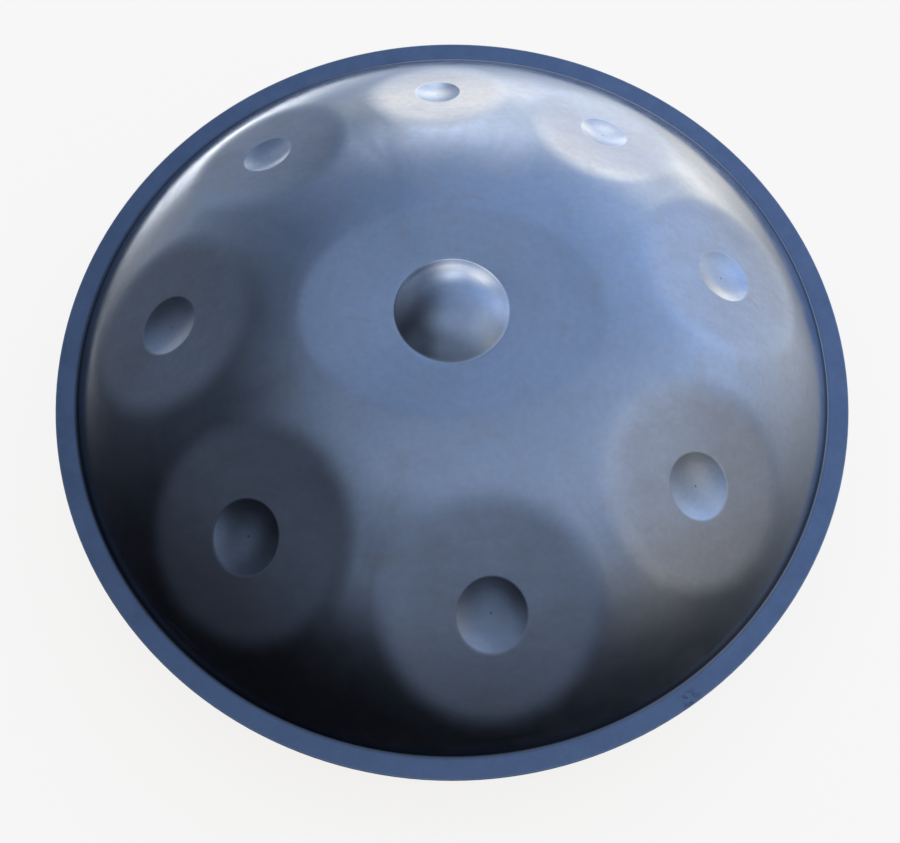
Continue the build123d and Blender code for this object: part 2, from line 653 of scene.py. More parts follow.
    tinted = nodes.new("ShaderNodeMix")
    tinted.label = "Fields keep a straw and mauve tint"
    tinted.data_type = "RGBA"
    tinted.inputs["B"].default_value = (*look.field_tint, 1)
    tinted.parent = fields
    links.new(tint_share.outputs["Value"], tinted.inputs["Factor"])
    links.new(stained.outputs["Result"], tinted.inputs["A"])

    in_dimple = nodes.new("ShaderNodeMapRange")
    in_dimple.label = "1 inside the dimples"
    in_dimple.inputs["From Min"].default_value = 0.815
    in_dimple.inputs["From Max"].default_value = 0.835
    in_dimple.inputs["To Max"].default_value = 0.7
    in_dimple.parent = fields
    links.new(depth.outputs["Fac"], in_dimple.inputs["Value"])

    dimple_share = nodes.new("ShaderNodeMath")
    dimple_share.label = "Dimples of the ring only"
    dimple_share.operation = "MULTIPLY"
    dimple_share.parent = fields
    links.new(in_dimple.outputs["Result"], dimple_share.inputs[0])
    links.new(off_centre.outputs["Value"], dimple_share.inputs[1])

    dimpled = nodes.new("ShaderNodeMix")
    dimpled.label = "Dimples keep a clear blue"
    dimpled.data_type = "RGBA"
    dimpled.inputs["B"].default_value = (*look.dimple_blue, 1)
    dimpled.parent = fields
    links.new(dimple_share.outputs["Value"], dimpled.inputs["Factor"])
    links.new(tinted.outputs["Result"], dimpled.inputs["A"])

    in_centre = nodes.new("ShaderNodeMapRange")
    in_centre.label = "1 near the middle of the shell"
    in_centre.inputs["From Min"].default_value = 92 * MM
    in_centre.inputs["From Max"].default_value = 76 * MM
    in_centre.parent = fields
    links.new(plan_radius.outputs["Value"], in_centre.inputs["Value"])

    rings = nodes.new("ShaderNodeTexWave")
    rings.label = "Rings left by turning"
    rings.wave_type = "RINGS"
    rings.rings_direction = "Z"
    rings.inputs["Scale"].default_value = 34
    rings.inputs["Distortion"].default_value = 1.6
    rings.inputs["Detail"].default_value = 2
    rings.parent = fields
    links.new(coordinate.outputs["Object"], rings.inputs["Vector"])

    ring_share = nodes.new("ShaderNodeMath")
    ring_share.label = "Rings only in the middle"
    ring_share.operation = "MULTIPLY"
    ring_share.parent = fields
    links.new(in_centre.outputs["Result"], ring_share.inputs[0])
    links.new(rings.outputs["Fac"], ring_share.inputs[1])

    ring_tone = nodes.new("ShaderNodeMapRange")
    ring_tone.label = "Rings' darkness"
    ring_tone.inputs["To Min"].default_value = 1
    ring_tone.inputs["To Max"].default_value = 0.985
    ring_tone.parent = fields
    links.new(ring_share.outputs["Value"], ring_tone.inputs["Value"])

    ringed = nodes.new("ShaderNodeVectorMath")
    ringed.label = "Steel with its turning rings"
    ringed.operation = "SCALE"
    ringed.parent = fields
    links.new(dimpled.outputs["Result"], ringed.inputs[0])
    links.new(ring_tone.outputs["Result"], ringed.inputs["Scale"])

    combed = nodes.new("ShaderNodeMapping")
    combed.label = "Drawn out along the strokes"
    combed.inputs["Rotation"].default_value = (0, 0, math.radians(-40))
    combed.inputs["Scale"].default_value = (0.35, 1, 0.7)
    combed.parent = fields
    links.new(coordinate.outputs["Object"], combed.inputs["Vector"])

    strokes = nodes.new("ShaderNodeTexNoise")
    strokes.label = "Burnishing strokes"
    strokes.inputs["Scale"].default_value = 95
    strokes.inputs["Detail"].default_value = 5
    strokes.inputs["Roughness"].default_value = 0.6
    strokes.inputs["Distortion"].default_value = 0.6
    strokes.parent = fields
    links.new(combed.outputs["Vector"], strokes.inputs["Vector"])

    stroke_tone = nodes.new("ShaderNodeMapRange")
    stroke_tone.label = "Strokes' lightness"
    stroke_tone.inputs["From Min"].default_value = 0.3
    stroke_tone.inputs["From Max"].default_value = 0.7
    stroke_tone.inputs["To Min"].default_value = 0.95
    stroke_tone.inputs["To Max"].default_value = 1.05
    stroke_tone.parent = fields
    links.new(strokes.outputs["Fac"], stroke_tone.inputs["Value"])

    stroke_mix = nodes.new("ShaderNodeMix")
    stroke_mix.label = "Strokes in the notes only"
    stroke_mix.inputs["A"].default_value = 1
    stroke_mix.parent = fields
    links.new(in_note.outputs["Value"], stroke_mix.inputs["Factor"])
    links.new(stroke_tone.outputs["Result"], stroke_mix.inputs["B"])

    stroked = nodes.new("ShaderNodeVectorMath")
    stroked.label = "Burnished steel"
    stroked.operation = "SCALE"
    stroked.parent = fields
    links.new(ringed.outputs["Vector"], stroked.inputs[0])
    links.new(stroke_mix.outputs["Result"], stroked.inputs["Scale"])

    punch = nodes.new("ShaderNodeMapRange")
    punch.label = "Centre punch in each dimple"
    punch.inputs["From Min"].default_value = 0.991
    punch.inputs["From Max"].default_value = 0.996
    punch.inputs["To Max"].default_value = 0.6
    punch.parent = fields
    links.new(depth.outputs["Fac"], punch.inputs["Value"])

    punch_share = nodes.new("ShaderNodeMath")
    punch_share.label = "Only in the ring of notes"
    punch_share.operation = "MULTIPLY"
    punch_share.parent = fields
    links.new(punch.outputs["Result"], punch_share.inputs[0])
    links.new(off_centre.outputs["Value"], punch_share.inputs[1])

    punched = nodes.new("ShaderNodeMix")
    punched.label = "Dark punch marks"
    punched.data_type = "RGBA"
    punched.inputs["B"].default_value = (0.05, 0.06, 0.08, 1)
    punched.parent = fields
    links.new(punch_share.outputs["Value"], punched.inputs["Factor"])
    links.new(stroked.outputs["Vector"], punched.inputs["A"])

    speck = nodes.new("ShaderNodeTexNoise")
    speck.label = "Fine oxide speckle"
    speck.inputs["Scale"].default_value = 260
    speck.inputs["Detail"].default_value = 3
    speck.inputs["Roughness"].default_value = 0.6
    speck.parent = clouds
    links.new(shifted.outputs["Vector"], speck.inputs["Vector"])

    speck_tone = nodes.new("ShaderNodeMapRange")
    speck_tone.label = "Speckle's lightness"
    speck_tone.inputs["From Min"].default_value = 0.25
    speck_tone.inputs["From Max"].default_value = 0.75
    speck_tone.inputs["To Min"].default_value = 0.95
    speck_tone.inputs["To Max"].default_value = 1.04
    speck_tone.parent = clouds
    links.new(speck.outputs["Fac"], speck_tone.inputs["Value"])

    on_flange = nodes.new("ShaderNodeMapRange")
    on_flange.label = "1 on the flange"
    on_flange.interpolation_type = "SMOOTHSTEP"
    on_flange.inputs["From Min"].default_value = look.flange_start - 0.2 * MM
    on_flange.inputs["From Max"].default_value = look.flange_start + 0.9 * MM
    on_flange.parent = flange
    links.new(plan_radius.outputs["Value"], on_flange.inputs["Value"])

    flange_cloud = nodes.new("ShaderNodeTexNoise")
    flange_cloud.label = "Mottling of the flange"
    flange_cloud.inputs["Scale"].default_value = 48
    flange_cloud.inputs["Detail"].default_value = 6
    flange_cloud.inputs["Roughness"].default_value = 0.65
    flange_cloud.parent = flange
    links.new(shifted.outputs["Vector"], flange_cloud.inputs["Vector"])

    flange_tone = nodes.new("ShaderNodeMapRange")
    flange_tone.label = "Mottling's lightness"
    flange_tone.inputs["From Min"].default_value = 0.3
    flange_tone.inputs["From Max"].default_value = 0.7
    flange_tone.inputs["To Min"].default_value = 0.9
    flange_tone.inputs["To Max"].default_value = 1.1
    flange_tone.parent = flange
    links.new(flange_cloud.outputs["Fac"], flange_tone.inputs["Value"])

    flange_steel = nodes.new("ShaderNodeVectorMath")
    flange_steel.label = "Flange colour, mottled"
    flange_steel.operation = "SCALE"
    flange_steel.inputs[0].default_value = look.flange_colour
    flange_steel.parent = flange
    links.new(flange_tone.outputs["Result"], flange_steel.inputs["Scale"])

    surface = nodes.new("ShaderNodeMix")
    surface.label = "Dome to flange"
    surface.data_type = "RGBA"
    surface.parent = flange
    links.new(on_flange.outputs["Result"], surface.inputs["Factor"])
    links.new(punched.outputs["Result"], surface.inputs["A"])
    links.new(flange_steel.outputs["Vector"], surface.inputs["B"])

    speckled = nodes.new("ShaderNodeVectorMath")
    speckled.label = "Speckle over all"
    speckled.operation = "SCALE"
    speckled.parent = flange
    links.new(surface.outputs["Result"], speckled.inputs[0])
    links.new(speck_tone.outputs["Result"], speckled.inputs["Scale"])

    # Painted shade: the colour is darkened to 0.3 in a band about 3.6 mm either side of the inside
    # corner between the dome's wall and the flange, standing in for the shade that falls in that
    # crease.
    from_corner = nodes.new("ShaderNodeMath")
    from_corner.label = "Distance from the inside corner"
    from_corner.operation = "SUBTRACT"
    from_corner.inputs[1].default_value = look.flange_start - 1.3 * MM
    from_corner.parent = flange
    links.new(plan_radius.outputs["Value"], from_corner.inputs[0])

    either_side = nodes.new("ShaderNodeMath")
    either_side.label = "Either side of it"
    either_side.operation = "ABSOLUTE"
    either_side.parent = flange
    links.new(from_corner.outputs["Value"], either_side.inputs[0])

    corner_painted_shade = nodes.new("ShaderNodeMapRange")
    corner_painted_shade.label = "Painted shade in the inside corner"
    corner_painted_shade.interpolation_type = "SMOOTHSTEP"
    corner_painted_shade.inputs["From Max"].default_value = 3.6 * MM
    corner_painted_shade.inputs["To Min"].default_value = 0.3
    corner_painted_shade.inputs["To Max"].default_value = 1
    corner_painted_shade.parent = flange
    links.new(either_side.outputs["Value"], corner_painted_shade.inputs["Value"])

    # Applies the painted corner shade to the steel's colour.
    corner_shaded = nodes.new("ShaderNodeVectorMath")
    corner_shaded.label = "Steel with painted shade in its corner"
    corner_shaded.operation = "SCALE"
    corner_shaded.parent = flange
    links.new(speckled.outputs["Vector"], corner_shaded.inputs[0])
    links.new(corner_painted_shade.outputs["Result"], corner_shaded.inputs["Scale"])

    from_scuff = nodes.new("ShaderNodeVectorMath")
    from_scuff.label = "Distance from the knock on the rim"
    from_scuff.operation = "DISTANCE"
    from_scuff.inputs[1].default_value = look.scuff
    from_scuff.parent = flange
    links.new(coordinate.outputs["Object"], from_scuff.inputs[0])

    scuff_fade = nodes.new("ShaderNodeMapRange")
    scuff_fade.label = "Fades away from the knock"
    scuff_fade.inputs["From Min"].default_value = 9 * MM
    scuff_fade.inputs["From Max"].default_value = 2 * MM
    scuff_fade.parent = flange
    links.new(from_scuff.outputs["Value"], scuff_fade.inputs["Value"])

    scuff_grain = nodes.new("ShaderNodeMapRange")
    scuff_grain.label = "Broken up by the grain"
    scuff_grain.inputs["From Min"].default_value = 0.5
    scuff_grain.inputs["From Max"].default_value = 0.58
    scuff_grain.parent = flange
    links.new(speck.outputs["Fac"], scuff_grain.inputs["Value"])

    scuff_share = nodes.new("ShaderNodeMath")
    scuff_share.label = "How much is scuffed"
    scuff_share.operation = "MULTIPLY"
    scuff_share.parent = flange
    links.new(scuff_fade.outputs["Result"], scuff_share.inputs[0])
    links.new(scuff_grain.outputs["Result"], scuff_share.inputs[1])

    scuffed = nodes.new("ShaderNodeMix")
    scuffed.label = "Dark scrapes in the knock"
    scuffed.data_type = "RGBA"
    scuffed.inputs["B"].default_value = (0.09, 0.12, 0.2, 1)
    scuffed.parent = flange
    links.new(scuff_share.outputs["Value"], scuffed.inputs["Factor"])
    links.new(corner_shaded.outputs["Vector"], scuffed.inputs["A"])

    at_rim = nodes.new("ShaderNodeMapRange")
    at_rim.label = "1 on the rim's edge"
    at_rim.inputs["From Min"].default_value = look.rim - 1.1 * MM
    at_rim.inputs["From Max"].default_value = look.rim - 0.1 * MM
    at_rim.parent = flange
    links.new(plan_radius.outputs["Value"], at_rim.inputs["Value"])

    rim_wear = nodes.new("ShaderNodeMath")
    rim_wear.label = "Wear, in patches"
    rim_wear.operation = "MULTIPLY"
    rim_wear.parent = flange
    links.new(at_rim.outputs["Result"], rim_wear.inputs[0])
    links.new(blotch.outputs["Fac"], rim_wear.inputs[1])

    worn = nodes.new("ShaderNodeMix")
    worn.label = "Bare steel where the rim is worn"
    worn.data_type = "RGBA"
    worn.inputs["B"].default_value = (0.42, 0.47, 0.55, 1)
    worn.parent = flange
    links.new(rim_wear.outputs["Value"], worn.inputs["Factor"])
    links.new(scuffed.outputs["Result"], worn.inputs["A"])

    rubbed = nodes.new("ShaderNodeMapRange")
    rubbed.label = "Rubbing leaves it uneven"
    rubbed.inputs["From Min"].default_value = 0.3
    rubbed.inputs["From Max"].default_value = 0.7
    rubbed.inputs["To Min"].default_value = look.roughness - 0.04
    rubbed.inputs["To Max"].default_value = look.roughness + 0.06
    rubbed.parent = polish
    links.new(blotch.outputs["Fac"], rubbed.inputs["Value"])

    matt = nodes.new("ShaderNodeMapRange")
    matt.label = "Flange is left matt"
    matt.inputs["From Min"].default_value = 0.3
    matt.inputs["From Max"].default_value = 0.7
    matt.inputs["To Min"].default_value = look.flange_roughness - 0.05
    matt.inputs["To Max"].default_value = look.flange_roughness + 0.05
    matt.parent = polish
    links.new(flange_cloud.outputs["Fac"], matt.inputs["Value"])

    polish_mix = nodes.new("ShaderNodeMix")
    polish_mix.label = "Polish, dome to flange"
    polish_mix.parent = polish
    links.new(on_flange.outputs["Result"], polish_mix.inputs["Factor"])
    links.new(rubbed.outputs["Result"], polish_mix.inputs["A"])
    links.new(matt.outputs["Result"], polish_mix.inputs["B"])

    hammer = nodes.new("ShaderNodeTexNoise")
    hammer.label = "Planishing marks"
    hammer.inputs["Scale"].default_value = 62
    hammer.inputs["Detail"].default_value = 1
    hammer.parent = relief
    links.new(shifted.outputs["Vector"], hammer.inputs["Vector"])

    grain = nodes.new("ShaderNodeTexNoise")
    grain.label = "Grain of the oxide"
    grain.inputs["Scale"].default_value = 900
    grain.inputs["Detail"].default_value = 3
    grain.parent = relief
    links.new(shifted.outputs["Vector"], grain.inputs["Vector"])

    marks = nodes.new("ShaderNodeBump")
    marks.label = "Faint planishing marks"
    marks.inputs["Strength"].default_value = 0.18
    marks.inputs["Distance"].default_value = 0.25 * MM
    marks.parent = relief
    links.new(hammer.outputs["Fac"], marks.inputs["Height"])

    tooth = nodes.new("ShaderNodeBump")
    tooth.label = "Tooth of the oxide"
    tooth.inputs["Strength"].default_value = 0.25
    tooth.inputs["Distance"].default_value = 0.03 * MM
    tooth.parent = relief
    links.new(grain.outputs["Fac"], tooth.inputs["Height"])
    links.new(marks.outputs["Normal"], tooth.inputs["Normal"])

    shader = nodes.new("ShaderNodeBsdfPrincipled")
    shader.label = "Nitrided steel"
    shader.location = (-200, 200)
    shader.inputs["Metallic"].default_value = 1
    links.new(worn.outputs["Result"], shader.inputs["Base Color"])
    links.new(polish_mix.outputs["Result"], shader.inputs["Roughness"])
    links.new(tooth.outputs["Normal"], shader.inputs["Normal"])

    output = nodes.new("ShaderNodeOutputMaterial")
    output.label = "Surface"
    output.location = (150, 200)
    links.new(shader.outputs["BSDF"], output.inputs["Surface"])
    for row, effect in enumerate((place, clouds, fields, flange, polish, relief)):
        grouped = [node for node in nodes if node.parent == effect]
        for column, node in enumerate(grouped):
            node.location = (220 * column - 2200, 1500 - 400 * row)
    return material


def cured_glue() -> bpy.types.Material:
    """Write the dark adhesive of the seam: slightly glossy, with dust and small bubbles.

    Returns:
        The material.
    """
    material = bpy.data.materials.new("Cured adhesive")
    material.use_nodes = True
    nodes = material.node_tree.nodes
    links = material.node_tree.links
    nodes.clear()

    coordinate = nodes.new("ShaderNodeTexCoord")
    coordinate.label = "Seam's own coordinates"
    coordinate.location = (-1000, 0)

    dust = nodes.new("ShaderNodeTexNoise")
    dust.label = "Dust in the adhesive"
    dust.location = (-800, 150)
    dust.inputs["Scale"].default_value = 320
    dust.inputs["Detail"].default_value = 4
    links.new(coordinate.outputs["Object"], dust.inputs["Vector"])

    tint = nodes.new("ShaderNodeMix")
    tint.label = "Resin to dust"
    tint.data_type = "RGBA"
    tint.location = (-500, 150)
    tint.inputs["A"].default_value = (0.012, 0.013, 0.016, 1)
    tint.inputs["B"].default_value = (0.05, 0.05, 0.052, 1)
    links.new(dust.outputs["Fac"], tint.inputs["Factor"])

    bubbles = nodes.new("ShaderNodeBump")
    bubbles.label = "Lumpy squeeze-out"
    bubbles.location = (-500, -200)
    bubbles.inputs["Strength"].default_value = 0.5
    bubbles.inputs["Distance"].default_value = 0.2 * MM
    links.new(dust.outputs["Fac"], bubbles.inputs["Height"])

    shader = nodes.new("ShaderNodeBsdfPrincipled")
    shader.label = "Cured adhesive"
    shader.location = (-200, 100)
    shader.inputs["Roughness"].default_value = 0.45
    links.new(tint.outputs["Result"], shader.inputs["Base Color"])
    links.new(bubbles.outputs["Normal"], shader.inputs["Normal"])

    output = nodes.new("ShaderNodeOutputMaterial")
    output.label = "Surface"
    output.location = (150, 100)
    links.new(shader.outputs["BSDF"], output.inputs["Surface"])
    return material


# ---------------------------------------------------------------- the three pieces


@dataclass
class DingShell:
    """The upper shell: flange, dome, ring of notes and the raised centre note."""

    rim: float
    flange_top: float
    sheet: float
    flange_width: float = 14.0 * MM
    flange_fillet: float = 2.5 * MM
    ding_radius: float = 35.7 * MM
    ding_rise: float = 13.6 * MM
    ding_field: tuple = (95.0 * MM, 72.0 * MM)
    ding_field_sink: float = 4.2 * MM
    centre_edge: float = 103.0 * MM
    notes_edge: float = 249.0 * MM
    side: int = 12
    unevenness: float = 0.12 * MM
    name: str = "ding_shell_steel"

    def __post_init__(self) -> None:
        """Lay out the dome, the fields and the bearings between them."""
        self.dome = Dome(self.rim - self.flange_width, self.flange_top)
        self.fields = [ToneField.of_note(self.dome, note) for note in NOTES]
        self.bounds = self._bearings_between()

    def _bearings_between(self) -> list:
        """Share the gaps between neighbouring notes by their sizes.

        Returns:
            The bearing after each note, in radians.
        """
        bounds = []
        for k, after in enumerate(NOTES[1:] + NOTES[:1]):
            here = NOTES[k]
            turn = (after.bearing - here.bearing) % 360
            spare = turn * here.half_width / (here.half_width + after.half_width)
            bounds.append(math.radians(here.bearing + spare))
        return bounds

    def _uneven(self, point: Vector, share: float = 1.0) -> Vector:
        """Move a point inwards by the hand work's unevenness.

        Args:
            point: a point of the dome.
            share: how much of the unevenness it gets.

        Returns:
            The moved point.
        """
        broad = 17.0
        fine = 41.0
        slope = self.dome.slope(min(math.hypot(point.x, point.y), self.dome.radius))
        turn = math.atan2(point.y, point.x)
        normal = Vector((math.sin(slope) * math.cos(turn),
                         math.sin(slope) * math.sin(turn), math.cos(slope)))
        wave = noise.noise(point * broad) + 0.5 * noise.noise(point * fine)
        return point - normal * (self.unevenness * share * (1 + wave) / 2)

    def _on_dome(self, radius: float, angle: float) -> Vector:
        """The point of the dome at a plan radius and bearing."""
        return Vector((radius * math.cos(angle), radius * math.sin(angle),
                       self.flange_top + self.dome.height(radius)))

    def _perimeters(self, cage: Cage) -> tuple[list, list, list]:
        """Make the vertices that the sectors share.

        Args:
            cage: the cage to add them to.

        Returns:
            The inner ring, the outer ring, and the walls from inner to outer ring that start
            each sector.
        """
        edge_unevenness = 0.6
        crowding = 0.88
        inner = []
        outer = []
        walls = []
        for k in range(len(NOTES)):
            start = self.bounds[k - 1]
            turn = (self.bounds[k] - start) % (2 * math.pi)
            for step in range(self.side):
                angle = start + turn * step / self.side
                inner.append(cage.vertex(self._uneven(self._on_dome(self.centre_edge, angle))))
                edge_point = self._on_dome(self.notes_edge, angle)
                outer.append(cage.vertex(self._uneven(edge_point, edge_unevenness)))
            wall = [inner[k * self.side]]
            for step in range(1, self.side):
                share = (step / self.side) ** crowding
                radius = self.centre_edge + share * (self.notes_edge - self.centre_edge)
                wall.append(cage.vertex(self._uneven(self._on_dome(radius, start))))
            walls.append(wall + [outer[k * self.side]])
        return inner, outer, walls

    def _sector(self, cage: Cage, tone: ToneField, ring: list) -> None:
        """Fill one note's sector with rings that follow its field and its dimple.

        Args:
            cage: the cage being built.
            tone: the note's field.
            ring: the sector's perimeter, counterclockwise from its inner clockwise corner.
        """
        count = len(ring)
        edge = 1.15
        strips = (0.36, 0.7, 1.0)
        starts = [tone.local(vertex.co) for vertex in ring]
        for vertex, (u, v) in zip(ring, starts):
            cage.mark(vertex, tone.reach(u, v))
        turns = [math.radians(360 * k / count - 135) for k in range(count)]
        targets = [(edge * tone.half_length * math.cos(turn),
                    edge * tone.half_width * math.sin(turn)) for turn in turns]
        for share in strips:
            step = []
            for (u0, v0), (u1, v1) in zip(starts, targets):
                u = u0 + share * (u1 - u0)
                v = v0 + share * (v1 - v0)
                step.append(cage.vertex(self._uneven(tone.surface(u, v)), tone.reach(u, v)))
            cage.bridge(ring, step)
            ring = step
        dimple = tone.dimple_share
        reaches = [1.08, 1.0, 0.92, 0.84, 0.74, 0.6, 0.48, 1.13 * dimple, 1.05 * dimple,
                   dimple, 0.955 * dimple, 0.87 * dimple, 0.7 * dimple]
        for reach in reaches:
            step = [self._field_vertex(cage, tone, reach * math.cos(turn), reach * math.sin(turn))
                    for turn in turns]
            cage.bridge(ring, step)
            ring = step
        last = reaches[-1]
        cage.close(ring, lambda x, y: self._field_point(tone, last * x, last * y))

    def _field_point(self, tone: ToneField, x: float, y: float) -> tuple[Vector, float]:
        """Find a field's surface, its ellipse being the unit circle.

        Args:
            tone: the field.
            x: share of its half length.
            y: share of its half width.

        Returns:
            The point and its reach.
        """
        u = x * tone.half_length
        v = y * tone.half_width
        return self._uneven(tone.surface(u, v)), math.hypot(x, y)

    def _field_vertex(self, cage: Cage, tone: ToneField, x: float, y: float) -> bmesh.types.BMVert:
        """Add the vertex of a field at x, y, its ellipse being the unit circle."""
        return cage.vertex(*self._field_point(tone, x, y))

    def _centre_point(self, x: float, y: float) -> tuple[Vector, float]:
        """Find the surface of the centre note's field, dome included.

        Args:
            x: plan position to the right.
            y: plan position to the back.

        Returns:
            The point and its reach.
        """
        softness = 0.05
        radius = math.hypot(x, y)
        reach = math.hypot(x / self.ding_field[0], y / self.ding_field[1])
        pressed = self.ding_field_sink * soft_floor(1 - reach**2, softness)
        height = self.dome.height(radius) - pressed
        ball = arc_radius(self.ding_radius, self.ding_rise)
        crown = self.dome.depth - self.ding_field_sink
        if radius < self.ding_radius:
            height = crown + self.ding_rise - ball + math.sqrt(ball**2 - radius**2)
            return Vector((x, y, self.flange_top + height)), reach
        return self._uneven(Vector((x, y, self.flange_top + height))), reach

    def _centre(self, cage: Cage, ring: list) -> None:
        """Fill the middle: the wide field and the raised dome in it.

        Args:
            cage: the cage being built.
            ring: the ring of vertices round the middle.
        """
        count = len(ring)
        long, short = self.ding_field
        ding = self.ding_radius
        axes = [(102.2 * MM, 94 * MM), (101.5 * MM, 85 * MM), (1.05 * long, 1.07 * short),
                (1.02 * long, 1.025 * short), (0.99 * long, 0.985 * short),
                (0.95 * long, 0.94 * short), (0.83 * long, 0.84 * short),
                (0.69 * long, 0.74 * short), (53 * MM, 47 * MM), (1.19 * ding, 1.17 * ding),
                (1.07 * ding, 1.07 * ding), (1.012 * ding, 1.012 * ding),
                (0.992 * ding, 0.992 * ding),
                (0.94 * ding, 0.94 * ding), (0.84 * ding, 0.84 * ding), (0.7 * ding, 0.7 * ding)]
        angles = [math.atan2(vertex.co.y, vertex.co.x) for vertex in ring]
        first = angles[0]
        for k, (half_length, half_width) in enumerate(axes):
            even = smooth_step(0, len(axes) - 4, k + 1)
            step = []
            for place, angle in enumerate(angles):
                spaced = 2 * math.pi * place / count
                own = (angle - first) % (2 * math.pi)
                turn = first + own + even * (spaced - own)
                x = half_length * math.cos(turn)
                y = half_width * math.sin(turn)
                step.append(cage.vertex(*self._centre_point(x, y)))
            cage.bridge(ring, step)
            ring = step
        cap = axes[-1][0]
        spin = first + math.radians(135)

        def cap_point(x: float, y: float) -> tuple[Vector, float]:
            """The cap's point for x, y in the unit disc."""
            return self._centre_point(cap * (x * math.cos(spin) - y * math.sin(spin)),
                                      cap * (x * math.sin(spin) + y * math.cos(spin)))

        cage.close(ring, cap_point)

    def _flange_section(self) -> list:
        """Lay out the foot of the wall, its fillet and the flange.

        Returns:
            (radius, height) pairs from the notes' edge to the rim.
        """
        wall_radii = (251.6 * MM, 253.8 * MM)
        flat_steps = (2.6 * MM, 5 * MM, 8.5 * MM, 12 * MM, 13.4 * MM)
        slope = self.dome.slope(self.dome.radius)
        turn = self.flange_fillet
        centre = self.dome.radius + turn * (1 - math.cos(slope)) / math.sin(slope)
        start = 270 - math.degrees(slope)
        fillet = arc_points((centre, turn), turn, start, 270, 4)
        wall = [(radius, self.dome.height(radius)) for radius in wall_radii]
        flat = [(self.dome.radius + out, 0) for out in flat_steps]
        return wall + fillet + flat + [(self.rim, 0)]

    def _flange(self, cage: Cage, ring: list) -> None:
        """Add the foot of the wall, its fillet and the flange outside a ring.

        Args:
            cage: the cage being built.
            ring: the ring of vertices at the notes' outer edge.
        """
        angles = [math.atan2(vertex.co.y, vertex.co.x) for vertex in ring]
        count = len(ring)
        for radius, height in self._flange_section():
            step = []
            for k, angle in enumerate(angles):
                gap = (angles[(k + 1) % count] - angle) % (2 * math.pi)
                taut = 3 / (2 + math.cos(gap)) if radius == self.rim else 1
                step.append(cage.vertex(Vector((taut * radius * math.cos(angle),
                                                taut * radius * math.sin(angle),
                                                self.flange_top + height))))
            cage.bridge(step, ring)
            ring = step

    def build(self) -> bpy.types.Object:
        """Build the shell.

        Returns:
            The finished piece, its modifiers live.
        """
        cage = Cage()
        inner, outer, walls = self._perimeters(cage)
        side = self.side
        count = len(inner)
        for k, tone in enumerate(self.fields):
            start = k * side
            far_wall = walls[(k + 1) % len(walls)]
            outer_arc = [outer[(start + step) % count] for step in range(side + 1)]
            inner_arc = [inner[(start + step) % count] for step in range(side + 1)]
            ring = walls[k][:-1] + outer_arc[:-1] + far_wall[:0:-1] + inner_arc[:0:-1]
            self._sector(cage, tone, ring)
        self._centre(cage, inner)
        self._flange(cage, outer)
        piece = cage.finish(self.name)
        smooth = piece.modifiers.new("Drawn smooth", "SUBSURF")
        smooth.levels = 1
        smooth.render_levels = 1
        add_sheet(piece, self.sheet)
        add_deburr(piece, DEBURR)
        return piece

    def dress(self, piece: bpy.types.Object) -> None:
        """Give the shell its nitrided finish and its place in the frame.

        Args:
            piece: the shell.
        """
        look = SteelFinish(
            name="Nitrided steel, upper shell",
            clear=(0.415, 0.465, 0.55),
            cloud=(0.36, 0.415, 0.495),
            stain=(0.4, 0.4, 0.42),
            field_tint=(0.43, 0.42, 0.45),
            dimple_blue=(0.43, 0.51, 0.64),
            flange_colour=(0.175, 0.23, 0.34),
            flange_start=self.dome.radius,
            rim=self.rim,
            scuff=(0.150, -0.220, self.flange_top),
            seed=0.37,
        )
        piece.data.materials.append(nitrided_steel(look))
        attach(piece, BODY)
        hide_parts("ding_shell")


